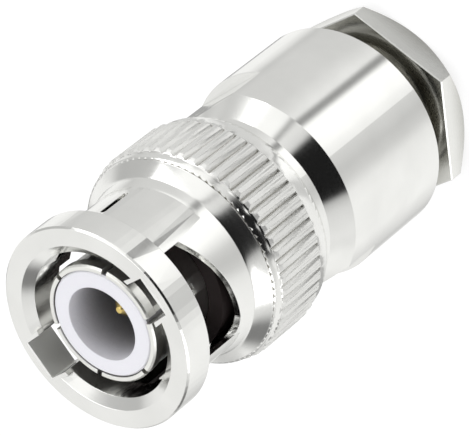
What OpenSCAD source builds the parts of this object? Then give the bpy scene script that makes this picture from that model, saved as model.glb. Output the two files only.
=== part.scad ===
// Bayonet coaxial cable plug, clamp type, standing on its cable nut.
// The axis is Z. The mating end points up and depths are counted down from the mating face.

/* [Coupling sleeve] */
// Radius of the bore that takes the jack
bore_r = 4.97; // [4.9:0.01:5.1]
// Wall of the front collar round the bore
collar_wall = 2.23; // [2.1:0.01:2.4]
// Length of the front collar
collar_len = 2.3; // [2:0.1:3]
// Width of the flat front face
face_w = 1.34; // [1.1:0.02:1.6]
// Depth of the recess in the front face
face_recess = 0.9; // [0.5:0.1:1.4]
// Height of the cam above the bore, which makes the tube's inside
cam_height = 0.78; // [0.7:0.02:0.9]
// Wall of the slotted tube
tube_wall = 0.45; // [0.35:0.05:0.55]
// Length of the slotted tube
tube_len = 4.9; // [4.7:0.05:5.3]
// Rise of the turned step behind the tube
step_rise = 0.15; // [0.1:0.05:0.35]
// Length of the turned step
step_len = 0.65; // [0.3:0.05:0.9]
// Length of the cove that flares out to the knurl
cove_len = 0.9; // [0.8:0.05:1.6]
// Rise of the plain ring over the tube
ring_rise = 1.3; // [1.1:0.05:1.5]
// Width of the plain ring in front of the knurl
ring_len = 0.55; // [0.4:0.05:1]
// Rise of the knurl over the plain ring
knurl_rise = 0.25; // [0.15:0.01:0.4]
// Number of knurl ridges
knurl_count = 52; // [40:1:60]
// Depth of a knurl groove
groove_depth = 0.36; // [0.25:0.01:0.4]
// Length of the knurl
knurl_len = 4.3; // [3.5:0.1:6]
// Length of the plain rear rim
rim_len = 1.2; // [0.9:0.05:1.5]
// Bevel of the rear rim
rim_bevel = 0.25; // [0.15:0.05:0.35]
// Wall round the cavity for the washers
cavity_wall = 1.15; // [1:0.05:1.3]
// Length of the inner shoulder that runs on the hub
lip_len = 1.85; // [1.2:0.05:2.4]

/* [Bayonet] */
// Width of an entry channel
channel_w = 2.72; // [2.3:0.02:2.9]
// Wall of the collar behind the flat floor of a channel
floor_wall = 0.84; // [0.7:0.02:1]
// Width of the flat lip left beside a channel
channel_lip = 0.3; // [0.2:0.05:0.5]
// Azimuth where a cam window starts
window_start = 15.3; // [14.5:0.1:18]
// Azimuth where a cam window ends
window_end = -62; // [-66:0.5:-56]
// Length of a window at its start
window_short = 2.05; // [1.8:0.05:2.4]
// Length of a window at its end
window_long = 4.4; // [4:0.1:4.6]
// Radius of the window's far corner
window_round = 0.8; // [0.4:0.1:1.1]
// Cam crest beyond the collar
cam_rise = 1.05; // [0.9:0.05:1.2]
// Drop of the cam crest at the start of the ramp
cam_fall = 0.25; // [0.1:0.05:0.6]
// Cam seat beyond the collar, where the stud locks
cam_seat = 0.7; // [0.4:0.05:1.1]
// Azimuth where the seat begins
seat_from = -33; // [-36:1:-30]
// Azimuth where the seat ends at the stop
seat_to = -54; // [-58:1:-50]
// Azimuth where the stop ends
stop_to = -66; // [-72:1:-62]
// Azimuth of a relief slot
slit_azimuth = 67; // [60:1:74]
// Width of a relief slot
slit_w = 0.42; // [0.3:0.02:0.6]
// Length of a relief slot
slit_len = 2.6; // [2:0.1:3.2]
// Distance from the collar to a relief slot
slit_from = 1.5; // [1.2:0.1:1.9]

/* [Contacts] */
// Radial gap between the bore and the spring finger tips, which takes the jack's shell
shell_gap = 0.78; // [0.7:0.01:0.9]
// Drop behind the raised finger tips
finger_step = 0.11; // [0.06:0.01:0.16]
// Wall of the spring fingers
finger_wall = 0.27; // [0.2:0.01:0.3]
// Length of the raised finger tip
finger_tip = 0.9; // [0.5:0.1:1.4]
// Distance from the mating face to the finger tips
finger_set = 0.62; // [0.4:0.02:1]
// Number of slots between fingers
finger_count = 6; // [4:1:8]
// Width of a slot between fingers
finger_slot = 0.36; // [0.25:0.01:0.5]
// Length of the slots
finger_slot_len = 6.8; // [5:0.1:7.6]
// Azimuth of the first slot
finger_azimuth = -18.3; // [-30:0.1:30]
// Radial gap between the fingers and the front insulator
insulator_gap = 0.03; // [0.02:0.01:0.1]
// Wall of the front insulator round its socket
insulator_wall = 1.18; // [1.1:0.01:1.3]
// Distance from the finger tips to the front of the insulator
insulator_set = 0.03; // [0:0.01:0.2]
// Depth of the socket
socket_depth = 8.2; // [7:0.1:9]
// Radius of the centre pin
pin_r = 0.67; // [0.6:0.01:0.72]
// Distance from the mating face to the tip of the pin
pin_set = 2.4; // [2:0.1:4]
// Length of the cone on the pin
pin_cone = 0.5; // [0.3:0.05:0.8]
// Rise of the pin's barrel behind the socket
pin_step = 0.28; // [0.2:0.01:0.4]
// Rise of the pin's flange over its barrel
pin_flange = 0.2; // [0.1:0.05:0.5]
// Length of the pin's barrel behind the body's web
pin_barrel_len = 5.9; // [5:0.1:6.4]
// Wall of the barrel round the hole for the cable's conductor
pin_wall = 0.45; // [0.3:0.05:0.6]
// Depth of that hole
pin_hole_depth = 3.5; // [2:0.1:4.5]

/* [Spring stack] */
// Wall of the hub that the sleeve turns on
hub_wall = 1.1; // [1:0.05:1.3]
// Length of the hub in front of the retaining ring
hub_land = 1.2; // [0.8:0.05:1.3]
// Thickness of the retaining ring
clip_t = 0.45; // [0.3:0.05:0.6]
// Rise of the retaining ring over the hub
clip_rise = 0.6; // [0.5:0.05:0.75]
// Depth of the groove that holds the retaining ring
clip_groove = 0.5; // [0.3:0.05:0.6]
// Opening of the retaining ring
clip_gap = 1.6; // [1:0.1:3]
// Thickness of a thrust washer
washer_t = 0.4; // [0.25:0.05:0.5]
// Height of the wave washer at rest
wave_h = 1.2; // [1:0.05:1.4]
// Thickness of the wave washer's strip
wave_t = 0.22; // [0.15:0.01:0.3]
// Number of waves
wave_count = 4; // [3:1:6]
// Thickness of the front seal
seal_t = 0.75; // [0.5:0.05:1]
// Wall of the front seal
seal_wall = 1.1; // [0.8:0.05:1.15]

/* [Body] */
// Rise of the neck ring over the hub
neck_rise = 1.4; // [1.3:0.05:1.5]
// Length of the neck ring
neck_len = 1.1; // [0.8:0.05:1.5]
// Length of the cone
cone_len = 1.6; // [1.2:0.05:2.2]
// Rise of the barrel over the neck ring
barrel_rise = 0.9; // [0.7:0.05:1.1]
// Length of the barrel
barrel_len = 9.85; // [9.4:0.05:11]
// Edge break at the barrel's rear end
barrel_break = 0.16; // [0.1:0.02:0.3]
// Depth of the wrench flats
flat_depth = 0.75; // [0.6:0.05:0.85]
// Length of the wrench flats
flats_len = 4.75; // [3.5:0.1:5.5]
// Azimuth of the wrench flats
flats_azimuth = 89; // [-90:1:90]
// Length of the contact sleeve's seat
contact_seat = 3; // [2:0.1:3.4]
// Thickness of the web behind that seat
web_t = 0.5; // [0.4:0.05:0.8]
// Width of the web's ring
web_w = 1.5; // [1:0.1:2]
// Ledge in the threaded bore round the rear insulator
ledge_w = 1.56; // [1.3:0.02:1.9]
// Length of the rear insulator
rear_insulator_len = 4.4; // [3.5:0.1:5]
// Length of the bushing that holds the rear insulator
bushing_len = 1.2; // [0.8:0.1:2]
// Wall of the bushing
bushing_wall = 1.6; // [1.2:0.1:2]
// Wall of the barrel round its threaded bore
barrel_wall = 1.94; // [1.8:0.02:2]

/* [Cable clamp] */
// Land from the nut's thread to its flats
hex_land = 1; // [0.9:0.02:1.2]
// Length of the hexagon
hex_len = 2.04; // [1.8:0.02:3]
// Chamfer on the rear corners of the hexagon
hex_chamfer = 1; // [0.6:0.05:1.05]
// Azimuth of a corner of the hexagon
hex_azimuth = -6; // [-30:1:30]
// Length of thread left showing between body and hexagon
nut_gap = 2.36; // [0.5:0.02:2.6]
// Length of thread inside the body
thread_len = 4; // [3.4:0.1:4.6]
// Radial gap between the nut's thread and its bore
thread_gap = 0.06; // [0.03:0.01:0.1]
// Wall of the nut round the cable hole
nut_wall = 2.2; // [2:0.05:2.5]
// Edge break of the cable hole
cable_hole_break = 0.4; // [0.2:0.05:0.6]
// Thickness of the braid clamp's flange
clamp_flange_t = 0.9; // [0.6:0.1:1.2]
// Gap between the cable hole's radius and the tube of the braid clamp
clamp_gap = 0.85; // [0.6:0.05:1.1]
// Wall of the braid clamp's tube
clamp_wall = 0.3; // [0.2:0.05:0.4]
// Length of the braid clamp's tube
clamp_tube_len = 1.4; // [1:0.1:1.8]
// Thickness of the washer under the nut
nut_washer_t = 0.6; // [0.4:0.05:0.8]
// Depth of the groove in the cable gasket
gasket_groove = 0.6; // [0.3:0.05:0.7]

/* [Clearances] */
// Running gap between sleeve and hub
run_gap = 0.08; // [0.04:0.01:0.1]
// Gap between the sleeve and the shoulder behind it
rear_gap = 0.15; // [0.1:0.01:0.3]
// Radial gap round the loose inner pieces
loose_gap = 0.3; // [0.2:0.02:0.4]
// Radial gap round the washer and gasket that slide in the threaded bore
slide_gap = 0.45; // [0.4:0.05:0.6]
// Gap between pieces that are stacked
stack_gap = 0.02; // [0.01:0.01:0.05]
// Radial gap of seated pieces
seat_gap = 0.02; // [0.01:0.01:0.05]
// Edge break on turned edges
edge = 0.12; // [0.05:0.01:0.2]

/* [Hidden] */
$fn = 96;

// Facets for small round cutters
fine = 32;
// How far a cutter reaches past what it cuts
over = 0.5;
// Sides of the nut
hex_sides = 6;

// Radii, worked out from the bore that takes the jack
collar_r = bore_r + collar_wall;
face_in_r = collar_r - face_w;
channel_floor = collar_r - floor_wall;
cavity_r = bore_r + cam_height;
tube_r = cavity_r + tube_wall;
ring_r = tube_r + ring_rise;
knurl_r = ring_r + knurl_rise;
washer_cavity_r = ring_r - cavity_wall;
finger_r = bore_r - shell_gap;
finger_neck_r = finger_r - finger_step;
finger_in_r = finger_neck_r - finger_wall;
insulator_r = finger_in_r - insulator_gap;
socket_r = insulator_r - insulator_wall;
pin_barrel_r = pin_r + pin_step;
pin_flange_r = pin_barrel_r + pin_flange;
pin_hole_r = pin_barrel_r - pin_wall;
hub_r = finger_neck_r + seat_gap + hub_wall;
clip_r = hub_r + clip_rise;
washer_r = washer_cavity_r - loose_gap;
neck_r = hub_r + neck_rise;
barrel_r = neck_r + barrel_rise;
flat_at = barrel_r - flat_depth;
thread_bore_r = barrel_r - barrel_wall;
rear_insulator_r = thread_bore_r - ledge_w;
web_hole_r = finger_neck_r - web_w;
bushing_hole_r = rear_insulator_r - bushing_wall;
thread_r = thread_bore_r - thread_gap;
hex_corner_r = (thread_r + hex_land) / cos(180 / hex_sides);
cable_hole_r = thread_r - nut_wall;
clamp_tube_r = cable_hole_r - clamp_gap;
clamp_r = thread_bore_r - loose_gap;
slide_r = thread_bore_r - slide_gap;
slide_in_r = cable_hole_r + loose_gap;

// Depths of the sleeve's features
tube_end = collar_len + tube_len;
step_end = tube_end + step_len;
cove_end = step_end + cove_len;
knurl_start = cove_end + ring_len;
knurl_end = knurl_start + knurl_len;
sleeve_end = knurl_end + rim_len;
lip_start = sleeve_end - lip_len;

// Depths of the spring stack, worked forward from the sleeve's shoulder
rear_washer_at = lip_start - washer_t - stack_gap;
wave_at = rear_washer_at - wave_h - stack_gap;
front_washer_at = wave_at - washer_t - stack_gap;
clip_at = front_washer_at - clip_t - stack_gap;
hub_start = clip_at - hub_land;
seal_at = hub_start - seal_t - stack_gap;

// Depths of the body's features
neck_start = sleeve_end + rear_gap;
cone_start = neck_start + neck_len;
barrel_start = cone_start + cone_len;
body_end = barrel_start + barrel_len;
contact_end = hub_start + contact_seat;
web_end = contact_end + web_t;
bushing_at = web_end + rear_insulator_len + stack_gap;
thread_floor = bushing_at + bushing_len + stack_gap;
hex_start = body_end + nut_gap;
total_len = hex_start + hex_len;

// Depths of the clamp pieces, worked from both ends of the threaded bore
thread_start = body_end - thread_len;
nut_washer_at = thread_start - nut_washer_t - stack_gap;
gasket_end = nut_washer_at - stack_gap;
clamp_end = thread_floor + clamp_flange_t;
gasket_start = clamp_end + loose_gap;
pin_flange_at = contact_end + stack_gap;

// Height of a point at a given depth behind the mating face
function at(depth) = total_len - depth;

// Points of an arc in a profile, from one angle to another
function arc(centre, radius, from, to, steps) =
    [for (i = [0 : steps]) let (a = from + (to - from) * i / steps)
        centre + radius * [cos(a), sin(a)]];

// Plain turned ring between two depths
module ring(inner, outer, front, back) {
    translate([0, 0, at(back)])
        difference() {
            cylinder(r = outer, h = back - front);
            translate([0, 0, -over])
                cylinder(r = inner, h = back - front + 2 * over);
        }
}

// Round cutter between two depths
module bore(radius, front, back) {
    translate([0, 0, at(back)])
        cylinder(r = radius, h = back - front);
}

// Sector of a ring between two azimuths and two depths
module sector(inner, outer, front, back, from, to) {
    rotate([0, 0, from])
        rotate_extrude(angle = to - from)
            translate([inner, at(back)])
                square([outer - inner, back - front]);
}

// Repeats what it is given on both sides of the axis
module both_sides() {
    for (turn = [0, 180])
        rotate([0, 0, turn])
            children();
}

// Outer form of the sleeve, with the step, the cove and the knurled band
module sleeve_form() {
    step_r = tube_r + step_rise;
    rise = ring_r - step_r - edge;
    cove_r = (cove_len * cove_len + rise * rise) / (2 * rise);
    sweep = asin(cove_len / cove_r);
    rotate_extrude()
        polygon(concat(
            [[0, at(0)], [collar_r - edge, at(0)], [collar_r, at(edge)]],
            [[collar_r, at(collar_len - edge)], [collar_r - edge, at(collar_len)]],
            [[tube_r, at(collar_len)], [tube_r, at(tube_end)], [step_r, at(step_end - edge)]],
            arc([step_r + cove_r, at(step_end)], cove_r, 180, 180 + sweep, 12),
            [[ring_r, at(cove_end + edge)], [ring_r, at(knurl_start)]],
            [[knurl_r - edge, at(knurl_start + edge)], [knurl_r, at(knurl_start + 3 * edge)]],
            [[knurl_r, at(knurl_end - 2 * edge)], [ring_r, at(knurl_end)]],
            [[ring_r, at(sleeve_end - 2 * rim_bevel)], [ring_r - rim_bevel, at(sleeve_end)]],
            [[0, at(sleeve_end)]]
        ));
}

// Grooves that leave the knurl's ridges convex
module knurl_grooves() {
    half = knurl_r * sin(180 / knurl_count);
    ridge_r = (groove_depth * groove_depth + half * half) / (2 * groove_depth);
    function flank(share) = [
        knurl_r - ridge_r + sqrt(ridge_r * ridge_r - pow(half * (1 - share), 2)), half * share
    ];
    side = [for (share = [0.28, 0.64]) flank(share)];
    for (i = [0 : knurl_count - 1])
        rotate([0, 0, 360 * (i + 0.5) / knurl_count])
            translate([0, 0, at(knurl_end - edge)])
                linear_extrude(height = knurl_len - 1.5 * edge)
                    polygon(concat(
                        [flank(0)], side, [[knurl_r + over, side[1][1]], [knurl_r + over, -side[1][1]]],
                        [for (k = [1, 0]) [side[k][0], -side[k][1]]]
                    ));
}

// Recess in the front face, interrupted by a lip on each side of the channels
module face_recess_cutter() {
    lip_w = channel_w + 2 * channel_lip;
    difference() {
        rotate_extrude()
            polygon([
                [0, at(-over)], [face_in_r, at(-over)], [face_in_r, at(0)],
                [bore_r, at(face_recess)], [0, at(face_recess)]
            ]);
        translate([-collar_r, -lip_w / 2, at(face_recess + over)])
            cube([2 * collar_r, lip_w, face_recess + 3 * over]);
    }
}

// Entry channels with flat floors, open from the face to the cam
module channel_cutter() {
    reach = collar_len + window_short - edge;
    translate([-channel_floor, -channel_w / 2, at(reach)])
        cube([2 * channel_floor, channel_w, reach + over]);
}

// One cam window, milled through the tube wall from its middle azimuth
module window_cutter() {
    middle = (window_start + window_end) / 2;
    half_chord = tube_r * sin((window_start - window_end) / 2);
    corner = [half_chord - window_round, collar_len + window_long - window_round];
    reach = (tube_r + collar_r - edge) / 2;
    intersection() {
        rotate([0, 0, middle])
            translate([0, 0, total_len])
                rotate([90, 180, 90])
                    linear_extrude(height = collar_r)
                        union() {
                            polygon([
                                [-half_chord, collar_len], [-half_chord, collar_len + window_short],
                                [corner[0], collar_len + window_long], [corner[0], corner[1]],
                                [half_chord, corner[1]], [half_chord, collar_len]
                            ]);
                            translate(corner)
                                circle(r = window_round, $fn = fine);
                        }
        bore(reach, 0, tube_end);
    }
}

// One relief slot with round ends
module slit_cutter() {
    slit_r = slit_w / 2;
    rotate([0, 0, slit_azimuth])
        translate([cavity_r - over, 0, at(collar_len + slit_from + slit_len)])
            union() {
                translate([0, -slit_r, slit_r])
                    cube([4 * over, slit_w, slit_len - slit_w]);
                for (end = [slit_r, slit_len - slit_r])
                    translate([0, 0, end])
                        rotate([0, 90, 0])
                            cylinder(r = slit_r, h = 4 * over, $fn = fine);
            }
}

// Cam wall behind the collar: ramp, seat and stop
module cam_wall() {
    ramp_from = -asin(channel_w / 2 / channel_floor);
    back = collar_len - edge;
    outer = cavity_r + tube_wall / 2;
    ramp_angle = atan(cam_fall / (cavity_r * sin(ramp_from - seat_from)));
    difference() {
        sector(bore_r, outer, back, collar_len + cam_rise + cam_seat, stop_to, ramp_from);
        sector(bore_r - over, outer + over, collar_len + cam_seat, collar_len + 2 * cam_rise + over, seat_to, seat_from);
        rotate([0, 0, seat_from])
            translate([0, 0, at(collar_len + cam_rise)])
                rotate([ramp_angle, 0, 0])
                    translate([0, -over, -2 * cam_rise])
                        cube([2 * collar_r, 2 * collar_r, 2 * cam_rise]);
    }
}

// Bayonet sleeve: collar with entry channels, slotted tube, knurled band and inner shoulder
module coupling_sleeve() {
    color([0.80, 0.79, 0.76])
        difference() {
            union() {
                difference() {
                    sleeve_form();
                    bore(cavity_r, collar_len, cove_end + over);
                    bore(washer_cavity_r, cove_end, lip_start);
                    bore(bore_r, -over, collar_len + over);
                    bore(hub_r + run_gap, lip_start - over, sleeve_end + over);
                    knurl_grooves();
                    both_sides()
                        window_cutter();
                    both_sides()
                        slit_cutter();
                }
                both_sides()
                    cam_wall();
            }
            face_recess_cutter();
            channel_cutter();
        }
}

// Turned body: hub, neck ring, cone and barrel, bored from both ends
module connector_body() {
    color([0.81, 0.80, 0.77])
        difference() {
            rotate_extrude()
                polygon([
                    [0, at(hub_start)], [hub_r - edge, at(hub_start)], [hub_r, at(hub_start + edge)],
                    [hub_r, at(neck_start)], [neck_r - edge, at(neck_start)],
                    [neck_r, at(neck_start + edge)], [neck_r, at(cone_start)],
                    [barrel_r, at(barrel_start)], [barrel_r, at(body_end - barrel_break)],
                    [barrel_r - barrel_break, at(body_end)], [0, at(body_end)]
                ]);
            bore(finger_neck_r + seat_gap, hub_start - over, contact_end);
            bore(web_hole_r, contact_end - over, web_end + over);
            bore(rear_insulator_r + seat_gap, web_end, thread_floor + over);
            bore(thread_bore_r, thread_floor, body_end + over);
            ring(hub_r - clip_groove, hub_r + over, clip_at - stack_gap, clip_at + clip_t + stack_gap);
            rotate([0, 0, flats_azimuth])
                both_sides() {
                    translate([flat_at, -barrel_r, at(cone_start + flats_len)])
                        cube([barrel_r, 2 * barrel_r, flats_len - cone_len - edge]);
                    translate([flat_at - stack_gap, -barrel_r, at(barrel_start + edge)])
                        cube([barrel_r, 2 * barrel_r, cone_len + over]);
                }
        }
}

// Spring contact: a thin tube slotted into fingers with raised tips
module contact_sleeve() {
    tip_end = finger_set + finger_tip;
    color([0.83, 0.82, 0.79])
        difference() {
            rotate_extrude()
                polygon([
                    [finger_in_r, at(finger_set)], [finger_r - edge, at(finger_set)],
                    [finger_r, at(finger_set + edge)], [finger_r, at(tip_end - edge)],
                    [finger_neck_r, at(tip_end)], [finger_neck_r, at(contact_end - stack_gap)],
                    [finger_in_r, at(contact_end - stack_gap)]
                ]);
            for (i = [0 : finger_count - 1])
                rotate([0, 0, finger_azimuth + i * 360 / finger_count])
                    translate([finger_in_r - over, -finger_slot / 2, at(finger_set + finger_slot_len)])
                        cube([finger_wall + 2 * over, finger_slot, finger_slot_len + over]);
        }
}

// Front insulator: a plastic tube with a deep socket and a web that carries the pin
module front_insulator() {
    front = finger_set + insulator_set;
    socket_end = finger_set + socket_depth;
    color([0.93, 0.92, 0.97])
        difference() {
            rotate_extrude()
                polygon([
                    [0, at(front)], [insulator_r - edge, at(front)], [insulator_r, at(front + edge)],
                    [insulator_r, at(contact_end)], [0, at(contact_end)]
                ]);
            bore(socket_r, front - over, socket_end);
            bore(pin_barrel_r + seat_gap, socket_end - over, contact_end + over);
        }
}

// Gilt centre pin with a cone at its tip, a flange and a solder barrel
module centre_pin() {
    step_at = finger_set + socket_depth + stack_gap;
    flange_end = web_end - stack_gap;
    barrel_end = web_end + pin_barrel_len;
    color([0.83, 0.65, 0.28])
        difference() {
            rotate_extrude()
                polygon([
                    [0, at(pin_set)], [pin_r / 3, at(pin_set)], [pin_r, at(pin_set + pin_cone)],
                    [pin_r, at(step_at)], [pin_barrel_r, at(step_at)],
                    [pin_barrel_r, at(pin_flange_at)], [pin_flange_r, at(pin_flange_at)],
                    [pin_flange_r, at(flange_end)], [pin_barrel_r, at(flange_end)],
                    [pin_barrel_r, at(barrel_end)], [0, at(barrel_end)]
                ]);
            bore(pin_hole_r, barrel_end - pin_hole_depth, barrel_end + over);
        }
}

// Rear insulator behind the body's web
module rear_insulator() {
    color([0.93, 0.93, 0.95])
        ring(pin_barrel_r + seat_gap, rear_insulator_r, web_end, bushing_at - stack_gap);
}

// Brass bushing pressed in behind the rear insulator
module insulator_bushing() {
    color([0.80, 0.68, 0.40])
        ring(bushing_hole_r, rear_insulator_r, bushing_at, bushing_at + bushing_len);
}

// Silicone seal that the jack's rim lands on
module front_seal() {
    inner = finger_neck_r + seat_gap;
    color([0.80, 0.30, 0.22])
        ring(inner, inner + seal_wall, seal_at, hub_start - stack_gap);
}

// Open spring ring in the hub's groove
module retaining_ring() {
    color([0.55, 0.55, 0.56])
        difference() {
            ring(hub_r - clip_groove + seat_gap, clip_r, clip_at, clip_at + clip_t);
            translate([0, -clip_gap / 2, at(clip_at + clip_t + over)])
                cube([clip_r + over, clip_gap, clip_t + 2 * over]);
        }
}

// Flat washer in front of the wave washer
module front_thrust_washer() {
    color([0.62, 0.62, 0.63])
        ring(hub_r + run_gap, washer_r, front_washer_at, front_washer_at + washer_t);
}

// Flat washer behind the wave washer, on the sleeve's shoulder
module rear_thrust_washer() {
    color([0.62, 0.62, 0.63])
        ring(hub_r + run_gap, washer_r, rear_washer_at, rear_washer_at + washer_t);
}

// Wave washer: a flat strip ring whose height follows a cosine
module wave_washer() {
    inner = hub_r + loose_gap / 2;
    outer = washer_r - loose_gap / 2;
    steps = 18 * wave_count;
    lift = (wave_h - wave_t) / 2;
    function height(i) = lift * (1 + cos(360 * wave_count * i / steps));
    function corner(i, r, z) = [r * cos(360 * i / steps), r * sin(360 * i / steps), height(i) + z];
    points = [for (i = [0 : steps - 1]) each [
        corner(i, inner, 0), corner(i, outer, 0), corner(i, outer, wave_t), corner(i, inner, wave_t)
    ]];
    faces = [for (i = [0 : steps - 1]) let (j = (i + 1) % steps) for (k = [0 : 3])
        [4 * i + k, 4 * i + (k + 1) % 4, 4 * j + (k + 1) % 4, 4 * j + k]
    ];
    color([0.50, 0.50, 0.52])
        translate([0, 0, at(wave_at + wave_h)])
            polyhedron(points = points, faces = faces, convexity = 6);
}

// Clamp nut: a hexagon with chamfered rear corners on a threaded neck, bored for the cable
module clamp_nut() {
    color([0.80, 0.79, 0.76])
        difference() {
            union() {
                rotate([0, 0, hex_azimuth])
                    difference() {
                        cylinder(r = hex_corner_r, h = hex_len, $fn = hex_sides);
                        for (i = [0 : hex_sides - 1], turn = [-20, 0, 20])
                            rotate([0, 0, i * 360 / hex_sides + turn])
                                translate([hex_corner_r - hex_chamfer, 0, 0])
                                    rotate([0, 45, 0])
                                        translate([0, -hex_corner_r / 2, -hex_len])
                                            cube([hex_len, hex_corner_r, 2 * hex_len]);
                    }
                bore(thread_r, thread_start, hex_start + over);
            }
            bore(cable_hole_r, thread_start - over, total_len + over);
            translate([0, 0, -edge])
                cylinder(
                    r1 = cable_hole_r + cable_hole_break + edge, r2 = cable_hole_r,
                    h = cable_hole_break + edge
                );
        }
}

// Flat washer between nut and gasket
module nut_washer() {
    color([0.78, 0.77, 0.74])
        ring(slide_in_r, slide_r, nut_washer_at, nut_washer_at + nut_washer_t);
}

// Rubber gasket with a groove in its front face
module cable_gasket() {
    middle = (slide_in_r + slide_r) / 2;
    color([0.12, 0.12, 0.12])
        rotate_extrude()
            polygon([
                [slide_in_r, at(gasket_start)], [middle - gasket_groove / 2, at(gasket_start)],
                [middle, at(gasket_start + gasket_groove)], [middle + gasket_groove / 2, at(gasket_start)],
                [slide_r, at(gasket_start)], [slide_r, at(gasket_end)], [slide_in_r, at(gasket_end)]
            ]);
}

// Flanged clamp that the cable's braid is combed over
module braid_clamp() {
    inner = clamp_tube_r - clamp_wall;
    tube_end_at = clamp_end + clamp_tube_len;
    color([0.80, 0.68, 0.40])
        rotate_extrude()
            polygon([
                [inner, at(thread_floor)], [clamp_r, at(thread_floor)], [clamp_r, at(clamp_end)],
                [clamp_tube_r + edge, at(clamp_end)], [clamp_tube_r, at(clamp_end + edge)],
                [clamp_tube_r, at(tube_end_at)], [inner, at(tube_end_at)]
            ]);
}

coupling_sleeve();
connector_body();
contact_sleeve();
front_insulator();
centre_pin();
rear_insulator();
insulator_bushing();
front_seal();
retaining_ring();
front_thrust_washer();
wave_washer();
rear_thrust_washer();
clamp_nut();
nut_washer();
cable_gasket();
braid_clamp();
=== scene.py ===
import math

import bmesh
import bpy
from mathutils import Matrix, Vector


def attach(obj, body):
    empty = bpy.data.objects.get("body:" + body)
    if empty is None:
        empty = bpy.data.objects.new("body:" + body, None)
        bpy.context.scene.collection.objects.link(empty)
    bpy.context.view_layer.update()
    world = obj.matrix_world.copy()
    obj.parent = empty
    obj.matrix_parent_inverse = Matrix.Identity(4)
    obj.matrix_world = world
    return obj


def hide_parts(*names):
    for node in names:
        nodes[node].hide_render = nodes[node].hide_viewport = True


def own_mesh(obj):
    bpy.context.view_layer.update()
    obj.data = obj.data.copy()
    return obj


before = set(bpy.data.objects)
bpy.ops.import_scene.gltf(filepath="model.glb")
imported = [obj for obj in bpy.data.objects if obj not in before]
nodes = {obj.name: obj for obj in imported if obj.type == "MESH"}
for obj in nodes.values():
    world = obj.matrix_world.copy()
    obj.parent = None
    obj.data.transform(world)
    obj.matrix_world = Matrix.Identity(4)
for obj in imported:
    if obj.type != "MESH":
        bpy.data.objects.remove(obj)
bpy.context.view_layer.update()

MM = 0.001
FACE = 31.9

# Studio
# The connector stands on its cable nut on a white sheet. The camera looks down at the mating end from the
# side and is rolled, so that the axis runs from the lower left of the picture to the upper right.
CAMERA_PLACE = Vector((184.83, 19.07, 180.81)) * MM
CAMERA_RIGHT = Vector((0.57761, -0.56918, -0.58515))
CAMERA_UP = Vector((0.33071, 0.81852, -0.46973))
CAMERA_BACK = Vector((0.74632, 0.07781, 0.66103))
FOCAL_PIXELS = 3833.8
PICTURE_WIDTH = 470
SHEET_SIZE = 1.5

camera_data = bpy.data.cameras.new("camera")
camera_data.sensor_width = 36
camera_data.lens = FOCAL_PIXELS / PICTURE_WIDTH * camera_data.sensor_width
camera_data.shift_x = -0.0038
camera_data.shift_y = 0.0040
camera_data.clip_start = 0.02
camera_data.clip_end = 10
camera = bpy.data.objects.new("camera", camera_data)
turn = Matrix((CAMERA_RIGHT, CAMERA_UP, CAMERA_BACK)).transposed()
camera.matrix_world = Matrix.Translation(CAMERA_PLACE) @ turn.to_4x4()
bpy.context.scene.collection.objects.link(camera)
bpy.context.scene.camera = camera
bpy.context.scene.view_settings.view_transform = "Standard"


def feed(tree, node, inputs):
    """Gives a node's inputs their values, or links them where the value is another node's output."""
    for key, value in inputs.items():
        if isinstance(value, bpy.types.NodeSocket):
            tree.links.new(value, node.inputs[key])
        else:
            node.inputs[key].default_value = value


def add(tree, kind, inputs=None, **settings):
    """Adds a shader node with its settings, then its inputs."""
    node = tree.nodes.new("ShaderNode" + kind)
    for key, value in settings.items():
        setattr(node, key, value)
    feed(tree, node, inputs or {})
    return node


# White sheet under the connector, seen as white by the camera with the connector's shadow kept.
floor_mesh = bpy.data.meshes.new("floor")
sheet = bmesh.new()
bmesh.ops.create_grid(sheet, x_segments=1, y_segments=1, size=SHEET_SIZE)
sheet.to_mesh(floor_mesh)
sheet.free()
floor = bpy.data.objects.new("floor", floor_mesh)
bpy.context.scene.collection.objects.link(floor)
floor.visible_glossy = False
paper = bpy.data.materials.new("white_sheet")
paper.use_nodes = True
tree = paper.node_tree
tree.nodes.clear()
path = add(tree, "LightPath")
plain = add(tree, "BsdfDiffuse", {"Color": (0.85, 0.85, 0.85, 1)})
dull = add(tree, "BsdfDiffuse", {"Color": (0.30, 0.30, 0.30, 1)})
glow = add(tree, "Emission", {"Strength": 0.82})
seen = add(tree, "AddShader", {0: dull.outputs[0], 1: glow.outputs[0]})
choose = add(tree, "MixShader", {"Fac": path.outputs["Is Camera Ray"], 1: plain.outputs[0],
                                 2: seen.outputs[0]})
add(tree, "OutputMaterial", {"Surface": choose.outputs[0]})
floor_mesh.materials.append(paper)

# Pale room: white to the camera, softer as a light. Metal mirrors its table and walls, which run round the
# connector in paler and darker stretches: pairs of an azimuth in degrees and a tone, from -180 to 180.
TABLE = [
    (-180, 0.34), (-175, 0.95), (-166, 0.90), (-150, 0.60), (-130, 0.80), (-110, 0.98), (-62, 0.98),
    (-48, 0.92), (-36, 0.70), (-24, 0.62), (-12, 0.70), (-2, 0.98), (6, 1.15), (32, 1.25), (37, 0.30),
    (42, 0.30), (46, 0.95), (58, 0.82), (70, 0.74), (112, 0.70), (122, 0.62), (130, 0.82), (142, 0.98),
    (165, 0.98), (171, 0.36), (180, 0.34),
]
WALLS = [
    (-180, 0.90), (-135, 0.95), (-122, 0.22), (-108, 0.22), (-98, 0.75), (-75, 0.88), (-50, 0.74),
    (-42, 0.55), (-37, 0.008), (18, 0.008), (23, 0.75), (36, 0.90), (41, 0.30), (46, 1.10), (80, 1.10),
    (92, 0.72), (104, 0.55), (134, 0.52), (142, 0.80), (150, 0.90),
]
# Heights of a mirrored direction at which the table turns into the walls, and the walls into the ceiling.
WALL_FOOT = (-0.05, 0.03)
WALL_TOP = (0.88, 0.94)


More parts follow.
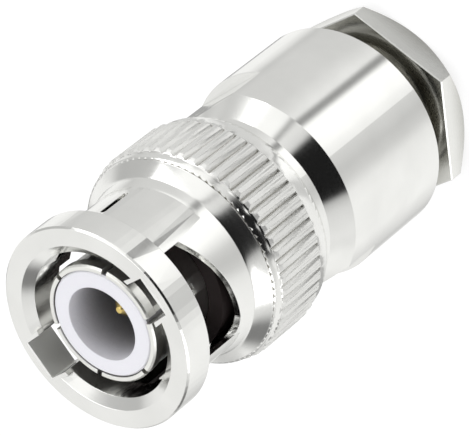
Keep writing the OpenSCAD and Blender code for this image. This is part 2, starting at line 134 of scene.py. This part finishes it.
def tones_round(tree, direction, stops):
    """A ramp of tones by azimuth."""
    around = add(tree, "TexGradient", {"Vector": direction}, gradient_type="RADIAL")
    tones = add(tree, "ValToRGB", {"Fac": around.outputs["Fac"]})
    while len(tones.color_ramp.elements) < len(stops):
        tones.color_ramp.elements.new(0.5)
    for element, (azimuth, tone) in zip(tones.color_ramp.elements, stops):
        element.position = azimuth / 360 + 0.5
        element.color = (tone, tone, tone * 0.985, 1)
    return tones.outputs["Color"]


def by_height(tree, height, heights, below, above):
    """Blends two tones as the height of a direction goes from the first height to the second."""
    climb = add(tree, "MapRange", {"Value": height, "From Min": heights[0], "From Max": heights[1]})
    blend = add(tree, "Mix", {"Factor": climb.outputs[0], "A": below, "B": above}, data_type="RGBA")
    return blend.outputs["Result"]


world = bpy.data.worlds.new("studio")
bpy.context.scene.world = world
world.use_nodes = True
tree = world.node_tree
tree.nodes.clear()
path = add(tree, "LightPath")
direction = add(tree, "TexCoord").outputs["Generated"]
height = add(tree, "SeparateXYZ", {0: direction}).outputs["Z"]
table = tones_round(tree, direction, TABLE)
walls = tones_round(tree, direction, WALLS)
room = by_height(tree, height, WALL_FOOT, table, walls)
room = by_height(tree, height, WALL_TOP, room, (1.0, 1.0, 0.99, 1))
soft = add(tree, "Background", {"Color": (0.98, 0.98, 1.0, 1), "Strength": 0.72})
mirrored = add(tree, "Background", {"Color": room})
white = add(tree, "Background")
lit = add(tree, "MixShader", {"Fac": path.outputs["Is Glossy Ray"], 1: soft.outputs[0],
                              2: mirrored.outputs[0]})
choose = add(tree, "MixShader", {"Fac": path.outputs["Is Camera Ray"], 1: lit.outputs[0],
                                 2: white.outputs[0]})
add(tree, "OutputWorld", {"Surface": choose.outputs[0]})


def softbox(name, place, size, radiance):
    """A square lamp that faces the connector."""
    lamp = bpy.data.lights.new(name, "AREA")
    lamp.size = size
    lamp.energy = radiance * math.pi * size * size
    box = bpy.data.objects.new(name, lamp)
    box.location = Vector(place)
    aim = Vector((0, 0, 0.018)) - box.location
    box.rotation_euler = aim.to_track_quat("-Z", "Y").to_euler()
    bpy.context.scene.collection.objects.link(box)


softbox("lamp_over", (-0.10, 0.12, 0.42), 0.26, 1.5)
softbox("lamp_left", (0.05, 0.36, 0.16), 0.22, 1.3)
softbox("lamp_right", (0.12, -0.34, 0.22), 0.22, 1.1)

# Coupling sleeve
# Turned brass with bright nickel plating: collar, slotted tube with cam windows, knurled grip.
# The lathe leaves fine rings round the axis, the plating softens every edge, and shade is painted into the
# colour of hollows: a hollow's painted shade has a reach in millimetres, the openness at which it is darkest
# and at which it ends, and the share of the tone that is left where it is darkest.
NICKEL = (0.88, 0.88, 0.865)
# Painted shade in the hollows of most turned metal, dark olive where darkest.
HOLLOW_SHADE = {"reach": 1.6, "openness": (0.05, 0.42), "share": (0.24, 0.21, 0.15)}
EDGE_RADIUS = 0.05


def two_tones(tree, factor, low, high, start=0.0, end=1.0):
    """A ramp from one colour to another."""
    ramp = add(tree, "ValToRGB", {"Fac": factor})
    for element, position, colour in zip(ramp.color_ramp.elements, (start, end), (low, high)):
        element.position = position
        element.color = (*colour, 1)
    return ramp.outputs["Color"]


def paint_shade_in_hollows(tree, colour, tone, hollow_shade):
    """Paints shade into a colour: turns it into a share of its tone where other surfaces close in round it.
    """
    cover = add(tree, "AmbientOcclusion", {"Distance": hollow_shade["reach"] * MM}, samples=8)
    shut, free = hollow_shade["openness"]
    opening = add(tree, "MapRange", {"Value": cover.outputs["AO"], "From Min": shut, "From Max": free})
    # Painted shade: the colour that the deepest hollows get.
    shade_colour = (*[c * d for c, d in zip(tone, hollow_shade["share"])], 1)
    blend = add(tree, "Mix", {"Factor": opening.outputs[0], "A": shade_colour, "B": colour}, data_type="RGBA")
    return blend.outputs["Result"]


def between(tree, value, low, high):
    """1 where a value lies between two lengths in millimetres, 0 elsewhere."""
    middle = (low + high) / 2 * MM
    spread = (high - low) / 2 * MM
    return add(tree, "Math", {0: value, 1: middle, 2: spread}, operation="COMPARE").outputs[0]


def turned_metal(name, tone, roughness, rings, ring_height, haze=0.03, satin=None, hollow_shade=HOLLOW_SHADE):
    """Plated, turned metal with shade painted into its hollows. rings is how many tool marks there are in a
    millimetre.
    satin is a duller band, given as its two heights in millimetres and its roughness."""
    metal = bpy.data.materials.new(name)
    metal.use_nodes = True
    tree = metal.node_tree
    shader = tree.nodes["Principled BSDF"]
    place = add(tree, "TexCoord").outputs["Object"]
    split = add(tree, "SeparateXYZ", {0: place})
    flat = add(tree, "CombineXYZ", {"X": split.outputs["X"], "Y": split.outputs["Y"]})
    radius = add(tree, "VectorMath", {0: flat.outputs[0]}, operation="LENGTH")
    ring_place = add(tree, "CombineXYZ", {"X": radius.outputs["Value"], "Y": split.outputs["Z"]})
    marks = add(tree, "TexNoise", {"Vector": ring_place.outputs[0], "Scale": rings * 1000, "Detail": 3,
                                   "Roughness": 0.6}).outputs["Fac"]
    edges = add(tree, "Bevel", {"Radius": EDGE_RADIUS * MM}, samples=4)
    bump = add(tree, "Bump", {"Strength": 1.0, "Distance": ring_height * MM, "Height": marks,
                              "Normal": edges.outputs[0]})
    tangent = add(tree, "Tangent", direction_type="RADIAL", axis="Z")
    cloud = add(tree, "TexNoise", {"Vector": place, "Scale": 320, "Detail": 4})
    low = [c - haze for c in tone]
    high = [min(1.0, c + haze) for c in tone]
    tint = two_tones(tree, cloud.outputs["Fac"], low, high, 0.30, 0.70)
    gloss = add(tree, "MapRange", {"Value": marks, "To Min": roughness - 0.03, "To Max": roughness + 0.05})
    finish = gloss.outputs[0]
    if satin:
        start, end, dull_finish = satin
        inside = between(tree, split.outputs["Z"], start, end)
        finish = add(tree, "Mix", {"Factor": inside, "A": finish, "B": dull_finish}).outputs["Result"]
    feed(tree, shader, {"Metallic": 1.0, "Anisotropic": 0.35, "Roughness": finish, "Normal": bump.outputs[0],
                        "Tangent": tangent.outputs[0],
                        "Base Color": paint_shade_in_hollows(tree, tint, tone, hollow_shade)})
    return metal


def milled_channels(metal, half_width, radius, height, finish):
    """Gives the collar's cut channels, which run along X, a duller finish than the metal round them."""
    tree = metal.node_tree
    shader = tree.nodes["Principled BSDF"]
    turned = shader.inputs["Roughness"].links[0].from_socket
    place = add(tree, "TexCoord").outputs["Object"]
    split = add(tree, "SeparateXYZ", {0: place})
    flat = add(tree, "VectorMath", {0: place, 1: (1, 1, 0)}, operation="MULTIPLY")
    reach = add(tree, "VectorMath", {0: flat.outputs[0]}, operation="LENGTH")
    across = between(tree, split.outputs["Y"], -half_width, half_width)
    within = between(tree, reach.outputs["Value"], 0, radius)
    above = between(tree, split.outputs["Z"], height, FACE + 1)
    inside = add(tree, "Math", {0: across, 1: within}, operation="MULTIPLY")
    inside = add(tree, "Math", {0: inside.outputs[0], 1: above}, operation="MULTIPLY")
    blend = add(tree, "Mix", {"Factor": inside.outputs[0], "A": turned, "B": finish})
    feed(tree, shader, {"Roughness": blend.outputs["Result"]})
    return metal


def dress(node, material):
    """Gives a CAD node its finish."""
    slots = nodes[node].data.materials
    slots.clear()
    slots.append(material)


MERGE_DISTANCE = 0.0005
SHARP_ANGLE = 14


def reshaped(name, node, body, material, move):
    """Copy of a CAD node, its points moved in radius and depth behind the mating face, in millimetres."""
    mesh = bpy.data.meshes.new(name)
    shape = bmesh.new()
    shape.from_mesh(nodes[node].data)
    bmesh.ops.remove_doubles(shape, verts=shape.verts, dist=MERGE_DISTANCE * MM)
    for vert in shape.verts:
        radius = vert.co.xy.length / MM
        azimuth = math.degrees(math.atan2(vert.co.y, vert.co.x))
        new_radius, depth = move(radius, azimuth, FACE - vert.co.z / MM)
        vert.co.x *= new_radius / radius
        vert.co.y *= new_radius / radius
        vert.co.z = (FACE - depth) * MM
    bmesh.ops.recalc_face_normals(shape, faces=shape.faces)
    for face in shape.faces:
        face.smooth = True
    shape.to_mesh(mesh)
    shape.free()
    mesh.set_sharp_from_angle(angle=math.radians(SHARP_ANGLE))
    piece = bpy.data.objects.new(name, mesh)
    bpy.context.scene.collection.objects.link(piece)
    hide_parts(node)
    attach(piece, body)
    mesh.materials.clear()
    mesh.materials.append(material)
    return piece


# The sleeve's radii and depths in the CAD, and beside them what the photograph shows.
SLEEVE = {"bore": 4.97, "seen_bore": 5.20, "recess": 5.86, "recess_depth": 0.90, "seen_recess_depth": 0.50,
          "cavity": 5.75, "tube": 6.20, "window_from": 4.2, "window_to": 6.9, "tube_end": 7.20, "step": 6.35,
          "seen_step": 6.45, "step_from": 7.3, "step_end": 7.85, "cove_end": 8.75, "ring": 7.38,
          "cove_bend": 1.15}
# How near a point lies to a radius or a depth to count as on it.
NEAR = 0.02
CLOSE = 0.01
# Rear edge of the cam windows in the photograph: azimuth in degrees and depth.
WINDOW_EDGE = [(-62.0, 6.55), (-57.5, 6.80), (-49.0, 6.84), (-36.0, 6.53), (-21.6, 6.17), (-9.4, 5.73),
               (3.4, 5.13), (15.3, 4.50)]


def window_depth(azimuth):
    """Depth of a cam window's rear edge at an azimuth."""
    for (a, low), (b, high) in zip(WINDOW_EDGE, WINDOW_EDGE[1:]):
        if a <= azimuth <= b:
            return low + (high - low) * (azimuth - a) / (b - a)
    return None


def sleeve_as_seen(radius, azimuth, depth):
    """Wider bore, shallower recess, fuller cam windows, sharper step and straighter cove than the CAD's."""
    value = SLEEVE
    in_recess = value["bore"] - NEAR < radius < value["recess"] - CLOSE
    in_tube = value["cavity"] - NEAR < radius < value["tube"] + NEAR
    in_cove = value["step"] - NEAR < radius < value["ring"]
    if depth < value["recess_depth"] + CLOSE and in_recess:
        share = (value["recess"] - radius) / (value["recess"] - value["bore"])
        radius = value["recess"] - (value["recess"] - value["seen_bore"]) * share
        depth *= value["seen_recess_depth"] / value["recess_depth"]
    elif abs(radius - value["bore"]) < NEAR and depth < value["tube_end"]:
        radius = value["seen_bore"]
    elif in_tube and value["window_from"] < depth < value["window_to"]:
        turned = (azimuth + 90) % 180 - 90
        depth = window_depth(turned) or depth
    elif value["step_from"] < depth < value["step_end"] + CLOSE and abs(radius - value["step"]) < NEAR:
        radius = value["seen_step"]
    elif value["step_end"] < depth < value["cove_end"] - CLOSE and in_cove:
        share = (depth - value["step_end"]) / (value["cove_end"] - value["step_end"])
        radius = value["seen_step"] + (value["ring"] - value["seen_step"]) * share ** value["cove_bend"]
    return radius, depth


GRIP_SATIN = (18.4, 22.5, 0.52)
CHANNELS = {"half_width": 1.40, "radius": 6.60, "height": 29.0, "finish": 0.60}
sleeve_metal = turned_metal("sleeve_nickel", NICKEL, 0.13, 9, 0.0012, satin=GRIP_SATIN)
reshaped("slotted_sleeve", "coupling_sleeve", "sleeve",
         milled_channels(sleeve_metal, **CHANNELS), sleeve_as_seen)

# Body
# Turned brass, nickel plated like the sleeve, with two milled wrench flats behind the cone.
dress("connector_body", turned_metal("body_nickel", NICKEL, 0.11, 12, 0.0010))

# Contact sleeve
# Thin spring tube with sawn fingers that press outwards in the jack, nickel plated.
# Its slots are shorter in the photograph than in the CAD.
SLOT_END = {"cad": 7.42, "seen": 5.20, "near": 0.25}
# Lighter painted shade in the contact's hollows.
PALE_HOLLOW_SHADE = {"reach": 1.6, "openness": (0.05, 0.42), "share": (0.60, 0.56, 0.48)}


def slots_as_seen(radius, azimuth, depth):
    """Moves the closed ends of the slots forward."""
    if abs(depth - SLOT_END["cad"]) < SLOT_END["near"]:
        depth += SLOT_END["seen"] - SLOT_END["cad"]
    return radius, depth


contact_metal = turned_metal("contact_nickel", (0.86, 0.86, 0.83), 0.30, 10, 0.0010, hollow_shade=PALE_HOLLOW_SHADE)
reshaped("spring_contact", "contact_sleeve", "body", contact_metal, slots_as_seen)

# Insulators
# Waxy white fluoroplastic, turned from rod: a tube with a deep socket in front and a plain disc behind.
# Painted shade deep in the insulators' socket and other hollows, almost black where darkest.
SOCKET_SHADE = {"reach": 8, "openness": (0.08, 0.45), "share": (0.14, 0.14, 0.14)}


def waxy_plastic(name, tone):
    """Soft white plastic with faint turning marks, and shade painted into its socket and other hollows."""
    plastic = bpy.data.materials.new(name)
    plastic.use_nodes = True
    tree = plastic.node_tree
    shader = tree.nodes["Principled BSDF"]
    place = add(tree, "TexCoord").outputs["Object"]
    cloud = add(tree, "TexNoise", {"Vector": place, "Scale": 500, "Detail": 3}).outputs["Fac"]
    tint = two_tones(tree, cloud, [c * 0.97 for c in tone], tone)
    bump = add(tree, "Bump", {"Strength": 0.4, "Distance": 0.002 * MM, "Height": cloud})
    feed(tree, shader, {"Roughness": 0.42, "Subsurface Weight": 0.25, "Subsurface Radius": (1.0, 0.95, 1.0),
                        "Subsurface Scale": 0.6 * MM, "Normal": bump.outputs[0],
                        "Base Color": paint_shade_in_hollows(tree, tint, tone, SOCKET_SHADE)})
    return plastic


dress("front_insulator", waxy_plastic("insulator_white", (0.93, 0.925, 0.975)))
dress("rear_insulator", waxy_plastic("insulator_rear_white", (0.93, 0.93, 0.95)))

# Centre pin
# Gilt brass pin with a cone at its tip, held by its flange behind the front insulator.
dress("centre_pin", turned_metal("pin_gold", (0.86, 0.66, 0.24), 0.22, 14, 0.0010, haze=0.04))

# Bushing and braid clamp
# Plain turned brass pieces inside the body, not plated.
for node in ("insulator_bushing", "braid_clamp"):
    dress(node, turned_metal(node + "_brass", (0.78, 0.66, 0.38), 0.26, 7, 0.0016, haze=0.05))

# Rubber pieces
# Front seal of red silicone, its colour darkened almost to black as painted shade for its hollow, and the
# cable gasket of black rubber, both moulded.
# In the photograph the seal's front reaches further forward than in the CAD.
SEAL = {"cad_front_to": 8.6, "seen_front": 6.3}


def moulded_rubber(name, tone):
    """Dull rubber with a fine moulded grain."""
    rubber = bpy.data.materials.new(name)
    rubber.use_nodes = True
    tree = rubber.node_tree
    place = add(tree, "TexCoord").outputs["Object"]
    grain = add(tree, "TexNoise", {"Vector": place, "Scale": 4000, "Detail": 3}).outputs["Fac"]
    tint = two_tones(tree, grain, [c * 0.85 for c in tone], [min(1.0, c * 1.1) for c in tone])
    bump = add(tree, "Bump", {"Strength": 0.6, "Distance": 0.01 * MM, "Height": grain})
    shader = tree.nodes["Principled BSDF"]
    feed(tree, shader, {"Roughness": 0.72, "Base Color": tint, "Normal": bump.outputs[0]})
    return rubber


def seal_as_seen(radius, azimuth, depth):
    """The seal's front reaches forward to where the windows show it."""
    return radius, SEAL["seen_front"] if depth < SEAL["cad_front_to"] else depth


# The seal's red is darkened almost to black: painted shade for its hollow.
reshaped("shell_seal", "front_seal", "body",
         moulded_rubber("red_silicone_painted_dark", (0.010, 0.003, 0.003)), seal_as_seen)
dress("cable_gasket", moulded_rubber("gasket_black", (0.035, 0.035, 0.035)))


def spring_steel(node):
    """Dark steel finish for one washer."""
    return turned_metal(node + "_steel", (0.10, 0.095, 0.09), 0.42, 6, 0.0015, haze=0.02)


for node in ("retaining_ring", "front_thrust_washer", "rear_thrust_washer"):
    dress(node, spring_steel(node))
wave_spring = reshaped("wave_spring", "wave_washer", "body", spring_steel("wave_washer"),
                       lambda radius, azimuth, depth: (radius, depth))
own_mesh(wave_spring)

# Cable nut and its washer
# Hexagonal nut, turned from bar and nickel plated. Its rear corners are turned off to a cone, and its neck
# carries a real thread, which shows between the hexagon and the body. It stands for the CAD's plain nut.
NUT = {"apothem": 6.5, "corner_at": -6, "length": 2.04, "rear": 6.5, "hole": 3.3, "end": 8.4,
       "front_edge": 0.08, "rear_edge": 0.02, "hole_bevel": 0.4, "end_bevel": 0.1}
THREAD = {"crest": 5.48, "root": 4.92, "pitch": 1.0, "start": 2.5, "stop": 8.2, "fade_in": 0.35,
          "fade_out": 0.5}
# One turn of the thread: shares of the pitch and the level there.
TURN = [(0.0, "root"), (0.10, "root"), (0.42, "crest"), (0.58, "crest"), (0.90, "root")]
COLUMNS = 144
NUT_MERGE = 0.002
# Painted shade and painted reflection of the body's dark in the gap between nut and body: dark olive,
# reaching far.
NUT_PAINTED_SHADE = {"reach": 3.0, "openness": (0.05, 0.80), "share": (0.10, 0.09, 0.05)}


def column_azimuth(i):
    """Azimuth of a column of points, from a corner of the hexagon."""
    return math.radians(NUT["corner_at"]) + 2 * math.pi * i / COLUMNS


def nut_point(shape, radius, azimuth, height):
    """Adds a point at a radius, azimuth and height."""
    return shape.verts.new(Vector((radius * math.cos(azimuth), radius * math.sin(azimuth), height)) * MM)


def hex_radius(azimuth):
    """Distance from the axis to the hexagon at an azimuth."""
    turned = (math.degrees(azimuth) - NUT["corner_at"]) % 60 - 30
    return NUT["apothem"] / math.cos(math.radians(turned))


def lathe(shape, rows):
    """Joins rows of (radius, height) functions of the azimuth into one skin round the axis."""
    verts = []
    for row in rows:
        ring = []
        for i in range(COLUMNS):
            radius, height = row(column_azimuth(i))
            ring.append(nut_point(shape, radius, column_azimuth(i), height))
        verts.append(ring)
    for lower, upper in zip(verts, verts[1:]):
        for i in range(COLUMNS):
            j = (i + 1) % COLUMNS
            shape.faces.new((lower[i], lower[j], upper[j], upper[i]))


def thread(shape):
    """Adds the helical skin of the neck, which fades into the root at both ends."""
    turns = int((THREAD["stop"] - THREAD["start"]) / THREAD["pitch"]) + 2
    grid = []
    levels = [(turn + share, level) for turn in range(-1, turns) for share, level in TURN]
    for share, level in levels:
        line = []
        for i in range(COLUMNS + 1):
            height = THREAD["start"] + THREAD["pitch"] * (share + i / COLUMNS)
            risen = max(0.0, height - THREAD["start"]) / THREAD["fade_in"]
            left = max(0.0, THREAD["stop"] - height) / THREAD["fade_out"]
            radius = THREAD["root"] + (THREAD[level] - THREAD["root"]) * min(1.0, risen, left)
            height = min(max(height, THREAD["start"]), THREAD["stop"])
            line.append(nut_point(shape, radius, column_azimuth(i), height))
        grid.append(line)
    for lower, upper in zip(grid, grid[1:]):
        for i in range(COLUMNS):
            shape.faces.new((lower[i], lower[i + 1], upper[i + 1], upper[i]))


nut_mesh = bpy.data.meshes.new("cable_nut")
nut_shape = bmesh.new()
lathe(nut_shape, [
    lambda a: (THREAD["root"], THREAD["start"]),
    lambda a: (THREAD["root"], NUT["length"]),
    lambda a: (hex_radius(a) - NUT["front_edge"], NUT["length"]),
    lambda a: (hex_radius(a), NUT["length"] - NUT["front_edge"]),
    lambda a: (hex_radius(a), max(NUT["rear_edge"], hex_radius(a) - NUT["rear"])),
    lambda a: (NUT["rear"], 0.0),
    lambda a: (NUT["hole"] + NUT["hole_bevel"], 0.0),
    lambda a: (NUT["hole"], NUT["hole_bevel"]),
    lambda a: (NUT["hole"], NUT["end"] - NUT["end_bevel"]),
    lambda a: (NUT["hole"] + NUT["end_bevel"], NUT["end"]),
    lambda a: (THREAD["root"], NUT["end"]),
    lambda a: (THREAD["root"], THREAD["stop"]),
])
thread(nut_shape)
bmesh.ops.remove_doubles(nut_shape, verts=nut_shape.verts, dist=NUT_MERGE * MM)
bmesh.ops.recalc_face_normals(nut_shape, faces=nut_shape.faces)
nut_shape.to_mesh(nut_mesh)
nut_shape.free()
nut = bpy.data.objects.new("cable_nut", nut_mesh)
bpy.context.scene.collection.objects.link(nut)
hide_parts("clamp_nut")
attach(nut, "nut")
nut_metal = turned_metal("nut_nickel", (0.87, 0.87, 0.85), 0.17, 8, 0.0014, hollow_shade=NUT_PAINTED_SHADE)
nut_mesh.materials.append(nut_metal)
dress("nut_washer", turned_metal("washer_nickel", (0.85, 0.85, 0.83), 0.22, 8, 0.0012))
